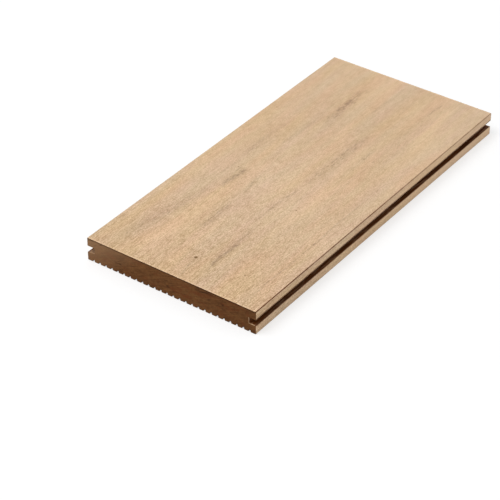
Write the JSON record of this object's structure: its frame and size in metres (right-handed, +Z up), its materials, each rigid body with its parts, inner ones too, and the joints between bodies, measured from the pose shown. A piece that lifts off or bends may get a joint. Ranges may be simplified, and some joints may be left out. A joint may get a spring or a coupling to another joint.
{
  "type": "decking board",
  "caption": "Solid composite decking board with a plain upper face, a ribbed underside and a clip slot along each long edge.",
  "frame": {"origin": "under the middle of the board, on the plane of the rib crests that it lies on", "axes": "+X across the width, +Y along the length, +Z up out of the plain upper face"},
  "size_m": [0.14, 0.3, 0.018],
  "materials": {
    "composite": "solid wood-plastic composite, brushed matte on the faces, darker in the slots and grooves, dark brown on the sawn ends"
  },
  "bodies": {
    "root": {"decking_board": "composite"}
  },
  "joints": []
}
